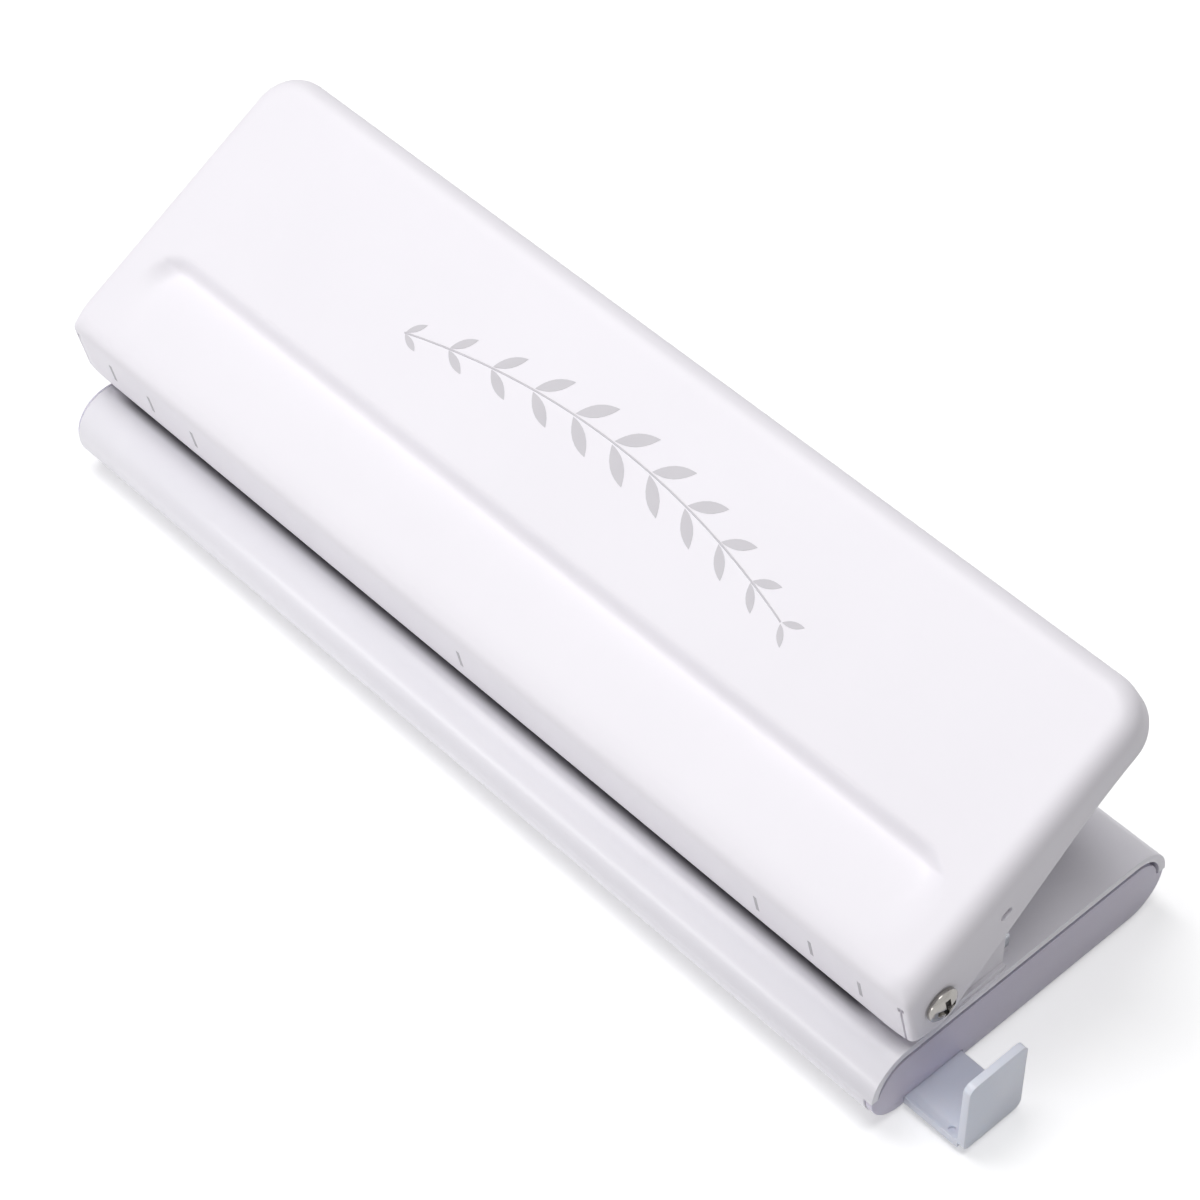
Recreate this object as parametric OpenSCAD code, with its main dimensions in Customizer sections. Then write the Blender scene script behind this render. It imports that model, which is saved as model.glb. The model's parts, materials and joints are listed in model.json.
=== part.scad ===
// Six-hole paper punch: a sprung pressing lever over six punches, a slide-out paper guide and a chip tray.
// X runs along the length, Y from the paper side at the front to the back, Z up from the table.
// The origin is on the table, under the lever's centre mark and halfway through the depth of the base.

/* [Base] */
// Depth of the base, front to back
base_d = 54.4; // [52:0.2:64]
// Height of the base shell, whose front and back are half-round
base_h = 12; // [12:0.2:14]
// Distance from the centre mark to the left end of the base shell
base_left = 76.8; // [75:0.2:79]
// Distance from the centre mark to the right end of the base shell
base_right = 81.2; // [80.8:0.1:86]
// Wall of the base shell
base_wall = 1.2; // [1.2:0.1:1.6]
// Thickness of the plate that closes the left end
end_plate_t = 0.5; // [0.5:0.1:2.5]
// Shadow gap between the shell and the pieces that close its ends
end_gap = 0.2; // [0.15:0.05:0.5]
// How much smaller than the shell's outside the end pieces are
end_inset = 0.2; // [0.1:0.05:0.4]
// Softening of the left end plate's outer edge
end_soft = 0.4; // [0.2:0.05:0.45]
// Clearance of the plug and the tray in the shell
plug_gap = 0.3; // [0.15:0.05:0.35]
// Thickness of the end cap's face, whose lower half reaches out over the shell's floor
cap_lip = 1.2; // [0.8:0.1:2]
// How far that face lies behind the end of the shell
cap_recess = 0.15; // [0.05:0.05:0.4]
// Length of the end cap's plug inside the shell
plug_len = 6; // [4:0.5:8]
// Wall of the plug
plug_wall = 1.2; // [0.9:0.1:1.5]
// Thickness of the rubber mat that the base stands on
mat_t = 0.8; // [0.5:0.1:1.5]
// Length of the mat
mat_len = 140; // [100:1:148]
// Width of the mat
mat_w = 36; // [24:1:40]
// Rounding of the mat's corners
mat_r = 6; // [2:0.5:10]

/* [Lever] */
// Length of the lever along the paper edge
lever_len = 164; // [163:0.5:176]
// Width of the lever plate from its front edge to its back edge
lever_w = 48; // [44:0.5:52]
// Slope of the lever plate at rest, in degrees
lever_tilt = 29; // [27:0.5:31]
// Turn of the lever from rest to full press, in degrees
lever_travel = 34; // [30:0.5:35]
// Sheet thickness of the lever
lever_sheet = 1.2; // [1:0.1:1.3]
// Rounding of the upper edges
lever_edge_r = 3; // [2.5:0.1:3.5]
// Rounding of the back corners, seen from above
lever_corner_r = 6.5; // [5:0.5:9]
// Rounding of the upright corners between skirt and flanges
skirt_corner_r = 1.4; // [1.35:0.05:2.5]
// Forward slope of the front skirt against the plate's normal, in degrees
skirt_lean = 16.6; // [14:0.2:18]
// How far the skirt hangs below the roof of the paper slot
skirt_hang = 0.5; // [0:0.1:0.6]
// Depth of the lip round the back of the plate
lip_depth = 6.3; // [5:0.1:7.5]
// Distance from the front edge at which the side flange has the lip's depth
lip_start = 35; // [32:0.5:40]
// Reach of the flange's foot behind the pivot
flange_heel = 1.3; // [1:0.1:3.6]
// Width of the slits between skirt and side flanges
slit_w = 0.35; // [0.25:0.05:0.6]
// Distance of the slits from the inner faces of the side flanges
slit_set = 0.25; // [0.2:0.05:0.6]
// Height of plate left above the slits
slit_top = 2.6; // [2.2:0.1:3]
// Side of the square relief at the end of each slit
relief_w = 0.9; // [0.7:0.1:1.2]
// Oval hole in each side flange, behind the plate's front edge
oval_u = 16.6; // [15:0.1:18]
// Oval hole below the plate's top face
oval_drop = 6.1; // [5.6:0.1:6.6]
// Height of the oval hole
oval_d = 1.3; // [1:0.1:1.6]
// Straight run of the oval hole
oval_run = 0.8; // [0.4:0.1:1.2]

/* [Pressed strip] */
// Flat left at each end of the pressed-in strip
strip_margin = 6; // [5:0.5:8]
// Start of the sloping strip floor behind the plate's front edge
strip_front = 3.4; // [3:0.1:4]
// Foot of the strip's step behind the plate's front edge
strip_foot = 15.1; // [14.5:0.1:16]
// Top of the strip's step behind the plate's front edge
strip_back = 17.6; // [17:0.1:19]
// Depth of the strip at the foot of its step
strip_depth = 1.75; // [1.2:0.05:2]
// Rounding of the strip's two back corners
strip_corner_r = 5; // [3:0.5:7]

/* [Pivot] */
// Pivot axis behind the front of the base
pivot_setback = 10.2; // [10:0.1:11]
// Pivot axis above the top of the base
pivot_rise = 6.6; // [6.4:0.1:7]
// Pivot axis behind the plate's front edge, along the plate
pivot_u = 3.2; // [3:0.1:3.8]
// Pivot axis below the plate's top face
pivot_v = 7.65; // [7.4:0.05:8]
// Shank diameter of the pivot screws
pivot_d = 2.5; // [2.2:0.1:3.5]
// Radial running clearance of the lever on its screws
pivot_clear = 0.05; // [0.02:0.01:0.1]
// Head diameter of the pivot screws
screw_head_d = 5; // [4.6:0.1:6]
// Head height of the pivot screws
screw_head_h = 1.4; // [1.2:0.1:2.2]
// Thickness of the pivot washers
washer_t = 0.3; // [0.2:0.1:0.8]
// Outer diameter of the pivot washers
washer_d = 5.4; // [4.6:0.1:5.6]
// Side clearance of the lever at its pivots
side_gap = 0.1; // [0.05:0.05:0.3]
// Outer diameter of the threaded inserts
insert_d = 5; // [4.5:0.1:5.2]
// Thickness of the threaded inserts
insert_t = 2; // [1.5:0.1:2.2]
// Reach of the ears in front of the pivot
ear_fore = 2.5; // [2.3:0.1:2.6]
// Reach of the ears behind the pivot
ear_aft = 13.5; // [11:0.1:14]
// Reach of the die plate beyond the ears
ear_foot = 0.5; // [0.3:0.1:0.6]
// Height of the ears above the pivot
ear_rise = 3.4; // [3:0.1:3.6]
// Rounding of the ears' upper corners
ear_r = 4; // [2:0.1:5]

/* [Punches] */
// Diameter of the punches
pin_d = 5.5; // [5:0.1:6]
// Distance from the centre mark to the innermost punches
pin_inner = 25.5; // [20:0.5:30]
// Spacing of the three punches on each side
pin_pitch = 19; // [16:0.1:19]
// Radial clearance of a punch in its bush
pin_clear = 0.03; // [0.02:0.01:0.1]
// Radial clearance of a punch in its die
die_clear = 0.05; // [0.03:0.01:0.1]
// Height of the punch tips above the paper slot at rest
tip_lift = 0.1; // [0.05:0.05:0.3]
// Depth of the hollow ground into each tip
tip_hollow = 0.6; // [0.3:0.1:0.9]
// Chamfer round the top of a punch
pin_chamfer = 0.5; // [0.2:0.1:0.6]
// Radial room for the paper chips below each die
chip_room = 0.75; // [0.5:0.05:1]
// Hole centre to paper edge
hole_edge = 5.8; // [5.5:0.1:6.5]
// Thickness of the die plate and its ears
frame_t = 1; // [0.9:0.1:1.4]
// Height of the paper slot
slot_h = 1; // [0.9:0.1:1.4]
// Thickness of the guide plate
guide_t = 1.2; // [1:0.1:1.4]
// Gap between the ears and the plates that lie between them
plate_gap = 0.3; // [0.2:0.1:0.5]
// Depth of the spacer strip behind the paper stop
spacer_w = 4; // [3.6:0.1:5]
// Outer diameter of the guide bushes
bush_d = 7; // [6.6:0.1:7.1]
// Height of the guide bushes
bush_h = 3.2; // [2.4:0.1:3.4]
// Wire diameter of the springs
spring_wire = 0.5; // [0.4:0.05:0.6]
// Mean diameter of the springs
spring_d = 8.5; // [8.4:0.05:8.6]
// Turns of each spring
spring_turns = 4; // [3:0.5:4.5]
// Diameter of the retaining rings
collar_d = 9.2; // [9:0.1:9.6]
// Thickness of the retaining rings
collar_t = 0.6; // [0.5:0.1:0.8]
// Height of a punch above its retaining ring
pin_head = 0.7; // [0.5:0.1:1]
// Diameter of the groove that holds a retaining ring
groove_d = 4.6; // [4.2:0.1:4.8]

/* [Press bar] */
// Nose of the press bar behind the plate's front edge
nose_u = 10.8; // [10.4:0.1:11.2]
// Radius of the nose
nose_r = 1.5; // [1.2:0.1:1.8]
// Nose centre below the strip's underside
nose_reach = 1.9; // [1.6:0.1:2.2]
// Width of the press bar's flange
bar_w = 7; // [5:0.5:7]
// Thickness of the press bar's flange
bar_t = 1; // [0.8:0.1:1.2]
// Distance of the bar's ends from the ends of the strip
bar_end = 2; // [1:0.5:8]
// Gap between nose and punches at rest
press_gap = 0.2; // [0.15:0.05:0.3]

/* [Fasteners] */
// Shank diameter of the frame screws
frame_screw_d = 2.5; // [2:0.1:2.8]
// Head diameter of the frame screws
frame_head_d = 4.4; // [3.8:0.1:4.6]
// Head height of the frame screws
frame_head_h = 1.5; // [1.2:0.1:1.8]
// Radial clearance of the frame screws in the plates
frame_screw_clear = 0.1; // [0.05:0.05:0.2]
// Distance from the centre mark to the inner frame screws
frame_screw_inner = 14; // [8:0.5:20]
// Distance from the centre mark to the outer frame screws
frame_screw_outer = 54; // [40:0.5:68]

/* [Paper guide] */
// Front edge of the ruler behind the front of the base
guide_setback = 6.4; // [5.8:0.1:8]
// Width of the ruler
guide_w = 10.4; // [8:0.1:11]
// Thickness of the ruler
ruler_t = 1.3; // [1.1:0.1:1.5]
// Length of the ruler inside the base shell at rest
ruler_inside = 64; // [58:1:70]
// Gap between the end cap and the upright at rest
guide_show = 9; // [8.2:0.1:12]
// Thickness of the upright
upright_t = 1.1; // [1:0.1:2.2]
// Height of the upright
upright_h = 12.8; // [10:0.1:16]
// Rounding of the upright's corners
upright_r = 1.2; // [0.8:0.1:3]
// Height of the upright's foot above the base's underside
upright_lift = 0.2; // [0.1:0.1:1]
// Fillet between ruler and upright
guide_fillet = 1; // [0.8:0.1:2]
// Running clearance round the ruler
ruler_gap = 0.2; // [0.1:0.05:0.3]
// Width of the two rails beside the ruler's slot in the floor
rail_w = 1.2; // [0.9:0.1:1.5]
// Gap between the rails and the end cap's plug
rail_gap = 1; // [0.5:0.1:2]
// Length of the keeper over the ruler
keeper_len = 12; // [8:0.5:12]
// Thickness of the keeper
keeper_t = 0.8; // [0.6:0.1:1]
// Height of the catch on the ruler's inner end
catch_h = 0.7; // [0.4:0.1:0.8]
// Length of that catch
catch_len = 2; // [1.5:0.1:3]

/* [Chip tray] */
// Wall of the chip tray
tray_wall = 1.1; // [0.9:0.1:1.3]
// Clearance between the tray and what lies beside and above it
tray_gap = 0.4; // [0.3:0.05:0.6]
// Length of the tray inside the shell
tray_len = 142; // [130:1:146]
// Width of the rib that the frame screws bite into
rib_w = 5; // [4:0.1:6]
// Depth of that rib below the roof of the shell
rib_h = 2.4; // [2:0.1:2.6]
// Distance of the rib from the left end and from the end cap's plug
rib_end = 4; // [2:0.5:6]
// Radius of the finger scoop in the tray's end plate
scoop_r = 14; // [10:0.5:20]
// Depth of the finger scoop
scoop_depth = 0.7; // [0.4:0.1:0.8]

/* [Hidden] */
$fn = 48;
hull_fn = 32;
eps = 0.01;
seat_gap = 0.02;
far = 200;

// Levels, from the table upwards
floor_z = mat_t;
floor_top = floor_z + base_wall;
base_top = floor_z + base_h;
roof_z = base_top - base_wall;
die_top = base_top + frame_t;
slot_roof = die_top + slot_h;
guide_top = slot_roof + guide_t;
skirt_bottom = slot_roof - skirt_hang;
mid_z = floor_z + base_h / 2;
base_r = base_h / 2;
front_y = -base_d / 2;

// Lever: u runs back along the plate from its front edge, v up along its normal
pivot_y = front_y + pivot_setback;
pivot_z = base_top + pivot_rise;
lever_half = lever_len / 2;
flange_in = lever_half - lever_sheet;
function plate_to_world(u, v) = [
    pivot_y + (u - pivot_u) * cos(lever_tilt) - (v + pivot_v) * sin(lever_tilt),
    pivot_z + (u - pivot_u) * sin(lever_tilt) + (v + pivot_v) * cos(lever_tilt)
];
edge_u = lever_edge_r * (1 - sin(skirt_lean)) / cos(skirt_lean);
skin_drop = 2 * (pivot_v + pivot_rise);

// Strip floor: its slope, and the corners of its underside one sheet below
strip_slope = atan2(strip_depth, strip_foot - strip_front);
step_slope = atan2(strip_depth, strip_back - strip_foot);
miter = lever_sheet * tan((strip_slope + step_slope) / 2);
under_front = [strip_front - lever_sheet * sin(strip_slope), -lever_sheet * cos(strip_slope)];
under_foot = [
    strip_foot - lever_sheet * sin(strip_slope) + miter * cos(strip_slope),
    -strip_depth - lever_sheet * cos(strip_slope) - miter * sin(strip_slope)
];
under_back = [strip_back + lever_sheet * sin(step_slope), -lever_sheet * cos(step_slope)];

// Press bar nose, at rest and at full press, seen from the pivot
bar_seat = [nose_u, under_front[1] - (nose_u - under_front[0]) * tan(strip_slope)];
nose_uv = bar_seat + nose_reach * [-sin(strip_slope), -cos(strip_slope)];
nose_rest = plate_to_world(nose_uv[0], nose_uv[1]) - [pivot_y, pivot_z];
nose_full_y = nose_rest[0] * cos(lever_travel) + nose_rest[1] * sin(lever_travel);
nose_full_z = nose_rest[1] * cos(lever_travel) - nose_rest[0] * sin(lever_travel);
stroke = nose_rest[1] - nose_full_z;

// Punches stand under the middle of the nose's path
pin_xs = [for (side = [-1, 1]) for (i = [0:2]) side * pin_inner + (side < 0 ? i - 2 : i) * pin_pitch];
pin_y = pivot_y + (nose_rest[0] + nose_full_y) / 2;
pin_top = pivot_z + nose_rest[1] - nose_r - press_gap;
pin_tip = slot_roof + tip_lift;
collar_z = pin_top - pin_head - collar_t;
stop_y = pin_y + hole_edge;
chip_hole_d = pin_d + 2 * chip_room;

// Frame
ear_out = flange_in - side_gap - washer_t;
ear_in = ear_out - frame_t;
foot_out = ear_out + ear_foot;
ear_front = pivot_y - ear_fore;
ear_back = pivot_y + ear_aft;
ear_top = pivot_z + ear_rise;
frame_back = stop_y + spacer_w;
guide_half = ear_in - plate_gap;
frame_screw_y = stop_y + spacer_w / 2;
frame_screw_xs = [-frame_screw_outer, -frame_screw_inner, frame_screw_inner, frame_screw_outer];
rib_y = frame_screw_y - rib_w / 2;
rib_bottom = roof_z - rib_h;

// Paper guide and its track
right_face = base_right - cap_recess;
cap_back = base_right - cap_lip;
ruler_front = front_y + guide_setback;
ruler_back = ruler_front + guide_w;
ruler_z = floor_z + ruler_gap / 4;
ruler_top = ruler_z + ruler_t;
ruler_end = base_right - ruler_inside;
upright_in = right_face + guide_show;
upright_low = floor_z + upright_lift;
rail_h = max(ruler_top - floor_top, 0) + ruler_gap;
rail_end = base_right - plug_len - rail_gap;
rail_start = ruler_end - guide_show - catch_len;
keeper_z = floor_top + rail_h;

// Chip tray: a step in its floor clears the ruler's keeper, and its sides clear the half-round walls
function shell_reach(z) = base_d / 2 - base_r + sqrt(pow(base_r - base_wall, 2) - pow(z - mid_z, 2));
tray_high = keeper_z + keeper_t + tray_gap;
tray_low = floor_top + plug_gap;
tray_top = rib_bottom - tray_gap;
tray_front = tray_gap - min(shell_reach(tray_high), shell_reach(tray_top));
tray_step = ruler_back + ruler_gap + rail_w + tray_gap;
tray_back = shell_reach(tray_low) - tray_gap;
left_face = -base_left - end_gap;

// Return spring: one helical tube between guide plate and retaining ring
ring_sides = 6;
rings_per_turn = 8;
ring_count = spring_turns * rings_per_turn + 1;
spring_low = guide_top + spring_wire / 2 + seat_gap;
spring_high = collar_z - spring_wire / 2 - seat_gap;
function coil_point(k) = let (turn = k / rings_per_turn) [
    spring_d / 2 * cos(360 * turn),
    spring_d / 2 * sin(360 * turn),
    spring_low + (spring_high - spring_low) * turn / spring_turns
];
function tube_point(k, s) = let (
    turn = 360 * k / rings_per_turn,
    out = spring_wire / 2 * cos(360 * s / ring_sides)
) coil_point(k) + [out * cos(turn), out * sin(turn), spring_wire / 2 * sin(360 * s / ring_sides)];
coil_gaps = [
    for (a = [0:ring_count - 1])
        for (b = [a + rings_per_turn / 2:ring_count - 1])
            norm(coil_point(a) - coil_point(b)) - spring_wire
];
echo(least_gap_between_spring_turns = min(coil_gaps));

// Draws a Y-Z outline along X from one place to another
module along_x(from, to) {
    translate([from, 0, 0]) rotate([90, 0, 90]) linear_extrude(to - from) children();
}

// Round bar along X
module rod_x(from, to, y, z, d) {
    translate([from, y, z]) rotate([0, 90, 0]) cylinder(h = to - from, d = d);
}

module block(low, high) {
    translate(low) cube(high - low);
}

// Section of the base, drawn in by inset
module base_section(inset) {
    r = base_r - inset;
    half = base_d / 2 - base_r;
    translate([-half, mid_z - r]) square([2 * half, 2 * r]);
    for (side = [-1, 1]) translate([side * half, mid_z]) circle(r);
}

// Everything below the middle of the base's height, and lower still by drop
module lower_half(drop) {
    translate([-far, mid_z - drop - far]) square([2 * far, far]);
}

// Left end plate with a softened outer edge
module end_plate() {
    $fn = hull_fn;
    translate([left_face, 0, 0]) mirror([1, 0, 0])
    hull() {
        along_x(0, end_plate_t - end_soft) base_section(end_inset);
        along_x(0, end_plate_t - end_soft / 3) base_section(end_inset + end_soft / 3);
        along_x(0, end_plate_t) base_section(end_inset + end_soft);
    }
}

module base_shell() {
    color("white")
    difference() {
        union() {
            difference() {
                along_x(-base_left, base_right) base_section(0);
                along_x(-base_left - 1, base_right + 1) base_section(base_wall);
            }
            // rib under the roof for the frame screws
            block([-base_left + rib_end, rib_y, rib_bottom],
                  [base_right - plug_len - rib_end, rib_y + rib_w, roof_z + eps]);
            // rails beside the ruler, on which its keeper lies
            for (y = [ruler_front - ruler_gap - rail_w, ruler_back + ruler_gap])
                block([rail_start, y, floor_top - eps], [rail_end, y + rail_w, floor_top + rail_h]);
        }
        // slot of the ruler through the floor, closed from below by the mat
        block([rail_start, ruler_front - ruler_gap, floor_z - 1],
              [base_right + 1, ruler_back + ruler_gap, floor_top + rail_h + 1]);
        // room for the end cap's lip
        along_x(cap_back - end_gap, base_right + 1) lower_half(0);
        for (x = pin_xs)
            translate([x, pin_y, roof_z - 1]) cylinder(h = base_wall + 2, d = chip_hole_d);
        for (x = frame_screw_xs)
            translate([x, frame_screw_y, rib_bottom - 1])
                cylinder(h = base_top - rib_bottom + 2, d = frame_screw_d + 2 * seat_gap);
    }
}

module right_end_cap() {
    plug_r = base_wall + plug_gap;
    color("lightsteelblue")
    difference() {
        union() {
            along_x(cap_back, right_face) {
                base_section(plug_r);
                intersection() {
                    base_section(end_inset);
                    lower_half(end_gap);
                }
            }
            difference() {
                along_x(base_right - plug_len, cap_back + eps) base_section(plug_r);
                along_x(base_right - plug_len - 1, cap_back) base_section(plug_r + plug_wall);
            }
        }
        // mouth of the ruler's slot
        block([cap_back - 1, ruler_front - ruler_gap, floor_z - 1],
              [right_face + 1, ruler_back + ruler_gap, ruler_top + ruler_gap]);
    }
}

module anti_slip_mat() {
    color("dimgray")
    linear_extrude(mat_t) {
        square([mat_len - 2 * mat_r, mat_w], center = true);
        square([mat_len, mat_w - 2 * mat_r], center = true);
        for (x = [-1, 1]) for (y = [-1, 1])
            translate([x * (mat_len / 2 - mat_r), y * (mat_w / 2 - mat_r)]) circle(mat_r);
    }
}

module guide_keeper() {
    keeper_hole_d = 3;
    color("lightsteelblue")
    difference() {
        block([rail_end - keeper_len, ruler_front - ruler_gap - rail_w, keeper_z],
              [rail_end, ruler_back + ruler_gap + rail_w, keeper_z + keeper_t]);
        translate([rail_end - keeper_len / 2, (ruler_front + ruler_back) / 2, keeper_z - 1])
            cylinder(h = keeper_t + 2, d = keeper_hole_d);
    }
}

module ear_outline() {
    difference() {
        translate([ear_front, base_top]) square([ear_back - ear_front, ear_top - base_top]);
        for (end = [[ear_front, 1], [ear_back, -1]])
            translate([end[0], ear_top])
                difference() {
                    square(2 * ear_r, center = true);
                    translate([end[1] * ear_r, -ear_r]) circle(ear_r);
                }
    }
}

module punch_frame() {
    color("white")
    difference() {
        union() {
            block([-guide_half, ear_front, base_top], [guide_half, frame_back, die_top]);
            block([-foot_out, ear_front, base_top], [foot_out, ear_back, die_top]);
            for (side = [-1, 1])
                along_x(side > 0 ? ear_in : -ear_out, side > 0 ? ear_out : -ear_in) ear_outline();
        }
        for (x = pin_xs)
            translate([x, pin_y, base_top - 1]) cylinder(h = frame_t + 2, d = pin_d + 2 * die_clear);
        frame_screw_holes(base_top - 1, die_top + 1);
        rod_x(-far, far, pivot_y, pivot_z, pivot_d + 2 * seat_gap);
    }
}

module frame_screw_holes(low, high) {
    for (x = frame_screw_xs)
        translate([x, frame_screw_y, low])
            cylinder(h = high - low, d = frame_screw_d + 2 * frame_screw_clear);
}

module spacer_strip() {
    color("gray")
    difference() {
        block([-guide_half, stop_y, die_top], [guide_half, frame_back, slot_roof]);
        frame_screw_holes(die_top - 1, slot_roof + 1);
    }
}

module guide_plate() {
    color("gainsboro")
    difference() {
        block([-guide_half, ear_front, slot_roof], [guide_half, frame_back, guide_top]);
        for (x = pin_xs)
            translate([x, pin_y, slot_roof - 1]) cylinder(h = guide_t + 2, d = bush_d + 2 * seat_gap);
        frame_screw_holes(slot_roof - 1, guide_top + 1);
    }
}

// Pan head with a domed top and a cross recess, head upwards from z = 0
module pan_head(d, h) {
    dome_r = d * 0.8;
    cross_w = d * 0.18;
    cross_len = d * 0.62;
    difference() {
        rotate_extrude() intersection() {
            square([d / 2, h]);
            translate([0, h - dome_r]) circle(dome_r);
        }
        for (turn = [0, 90])
            rotate(turn) translate([-cross_len / 2, -cross_w / 2, h * 0.5]) cube([cross_len, cross_w, h]);
    }
}

module frame_screws() {
    color("silver")
    for (x = frame_screw_xs)
        translate([x, frame_screw_y, 0]) {
            translate([0, 0, guide_top]) pan_head(frame_head_d, frame_head_h);
            translate([0, 0, rib_bottom]) cylinder(h = guide_top - rib_bottom + eps, d = frame_screw_d);
        }
}

// Pivot parts are drawn on the right and mirrored to the left
module at_side(side) {
    mirror([side < 0 ? 1 : 0, 0, 0]) children();
}

module pivot_screw(side) {
    shank_end = ear_in - insert_t;
    color("silver")
    at_side(side) {
        translate([lever_half + side_gap, pivot_y, pivot_z])
            rotate([0, 90, 0]) pan_head(screw_head_d, screw_head_h);
        rod_x(shank_end, lever_half + side_gap + eps, pivot_y, pivot_z, pivot_d);
    }
}

module ring_x(from, to, d_out, d_in) {
    difference() {
        rod_x(from, to, pivot_y, pivot_z, d_out);
        rod_x(from - 1, to + 1, pivot_y, pivot_z, d_in);
    }
}

module pivot_washer(side) {
    color("whitesmoke")
    at_side(side) ring_x(ear_out, ear_out + washer_t, washer_d, pivot_d + 2 * pivot_clear);
}

module pivot_insert(side) {
    color("goldenrod")
    at_side(side) ring_x(ear_in - insert_t, ear_in, insert_d, pivot_d + 2 * seat_gap);
}

module guide_bush(i) {
    color("goldenrod")
    translate([pin_xs[i], pin_y, slot_roof])
    difference() {
        cylinder(h = bush_h, d = bush_d);
        translate([0, 0, -1]) cylinder(h = bush_h + 2, d = pin_d + 2 * pin_clear);
    }
}

// Helical tube, closed at both ends
module spring(i) {
    last = (ring_count - 1) * ring_sides;
    points = [for (k = [0:ring_count - 1]) for (s = [0:ring_sides - 1]) tube_point(k, s)];
    side_faces = [
        for (k = [0:ring_count - 2])
            for (s = [0:ring_sides - 1])
                let (a = k * ring_sides + s, b = k * ring_sides + (s + 1) % ring_sides)
                    each [[a, b, b + ring_sides], [a, b + ring_sides, a + ring_sides]]
    ];
    end_faces = [
        for (s = [1:ring_sides - 2])
            each [[0, s + 1, s], [last, last + s, last + s + 1]]
    ];
    color("silver")
    translate([pin_xs[i], pin_y, 0]) polyhedron(points, concat(side_faces, end_faces));
}

// Punch with a hollow-ground tip, a ring groove and a chamfered top
module punch_pin(i) {
    r = pin_d / 2;
    hollow_r = (r * r + tip_hollow * tip_hollow) / (2 * tip_hollow);
    core_r = groove_d / 2;
    groove_top = collar_z + collar_t;
    color("silver")
    translate([pin_xs[i], pin_y, 0])
    difference() {
        rotate_extrude() polygon([
            [0, pin_tip], [r, pin_tip], [r, collar_z], [core_r, collar_z], [core_r, groove_top],
            [r, groove_top], [r, pin_top - pin_chamfer], [r - pin_chamfer, pin_top], [0, pin_top]
        ]);
        translate([-pin_d, 0, pin_tip + tip_hollow - hollow_r])
            rotate([0, 90, 0]) cylinder(h = 2 * pin_d, r = hollow_r);
    }
}

// Open retaining ring in the punch's groove
module spring_collar(i) {
    mouth = groove_d * 0.84;
    color("dimgray")
    translate([pin_xs[i], pin_y, collar_z])
    difference() {
        translate([0, 0, seat_gap]) cylinder(h = collar_t - 2 * seat_gap, d = collar_d);
        translate([0, 0, -1]) cylinder(h = collar_t + 2, d = groove_d + 2 * seat_gap);
        translate([-mouth / 2, -collar_d, -1]) cube([mouth, collar_d, collar_t + 2]);
    }
}

// Places what is drawn in plate coordinates: X, u and v
module on_lever() {
    translate([0, pivot_y, pivot_z]) rotate([lever_tilt, 0, 0]) translate([0, -pivot_u, pivot_v]) children();
}

// Convex skin of the lever, drawn in by inset, hanging to a given depth
module lever_skin(inset, depth) {
    back_r = lever_corner_r - inset;
    edge_r = lever_edge_r - inset;
    $fn = hull_fn;
    hull() for (side = [-1, 1]) {
        translate([side * (lever_half - lever_corner_r), lever_w - lever_corner_r, -lever_edge_r])
            rotate_extrude() translate([back_r - edge_r, 0]) circle(edge_r);
        translate([side * (lever_half - lever_corner_r), lever_w - lever_corner_r, -depth])
            cylinder(h = 0.1, r = back_r);
        translate([side * (lever_half - lever_edge_r), edge_u, -lever_edge_r]) sphere(edge_r);
        for (down = [slit_top + relief_w, depth])
            translate([side * (lever_half - skirt_corner_r), skirt_corner_r - down * tan(skirt_lean), -down])
                cylinder(h = 0.1, r = skirt_corner_r - inset);
    }
}

// Plan of the pressed strip, grown by more
module strip_plan(more) {
    half = lever_half - strip_margin + more;
    back = strip_back + more;
    r = strip_corner_r + more;
    translate([-half, 0]) square([2 * half, back - r]);
    translate([-half + r, 0]) square([2 * (half - r), back]);
    for (side = [-1, 1]) translate([side * (half - r), back - r]) circle(r);
}

// Wedge of the strip: front, foot and back in u and v, raised past the plate and kept inside the strip's plan
module strip_wedge(corners, more) {
    intersection() {
        along_x(-lever_half, lever_half)
            polygon(concat(corners, [[corners[2][0], 1], [corners[0][0], 1]]));
        translate([0, 0, -skin_drop]) linear_extrude(2 * skin_drop) strip_plan(more);
    }
}

module lever_cover() {
    heel = [pivot_y + flange_heel, skirt_bottom];
    lip = plate_to_world(lip_start, -lip_depth);
    lip_far = plate_to_world(2 * lever_w, -lip_depth);
    slit_x = flange_in - slit_set;
    slit_back = lever_sheet + edge_u / 2;
    color("white")
    difference() {
        on_lever() difference() {
            lever_skin(0, skin_drop);
            difference() {
                lever_skin(lever_sheet, skin_drop + 1);
                strip_wedge([under_front, under_foot, under_back], lever_sheet);
            }
            strip_wedge([[strip_front, 0], [strip_foot, -strip_depth], [strip_back, 0]], 0);
            // slits at the front corners, each ending in a small square relief
            for (side = [-1, 1]) {
                block([side * slit_x - slit_w / 2, -skin_drop, -skin_drop - 1],
                      [side * slit_x + slit_w / 2, slit_back, -slit_top]);
                block([side * slit_x - relief_w / 2, -skin_drop, -slit_top - relief_w],
                      [side * slit_x + relief_w / 2, slit_back, -slit_top]);
            }
            // oval inspection hole in each side flange
            for (shift = [-oval_run / 2, oval_run / 2])
                rod_x(-far, far, oval_u + shift, -oval_drop, oval_d);
        }
        // lower edge: level skirt, rising flange, lip round the back
        along_x(-far, far) polygon([
            [-far, skirt_bottom], heel, lip, lip_far, [far, lip_far[1]], [far, -far], [-far, -far]
        ]);
        rod_x(-far, far, pivot_y, pivot_z, pivot_d + 2 * pivot_clear);
    }
}

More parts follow.
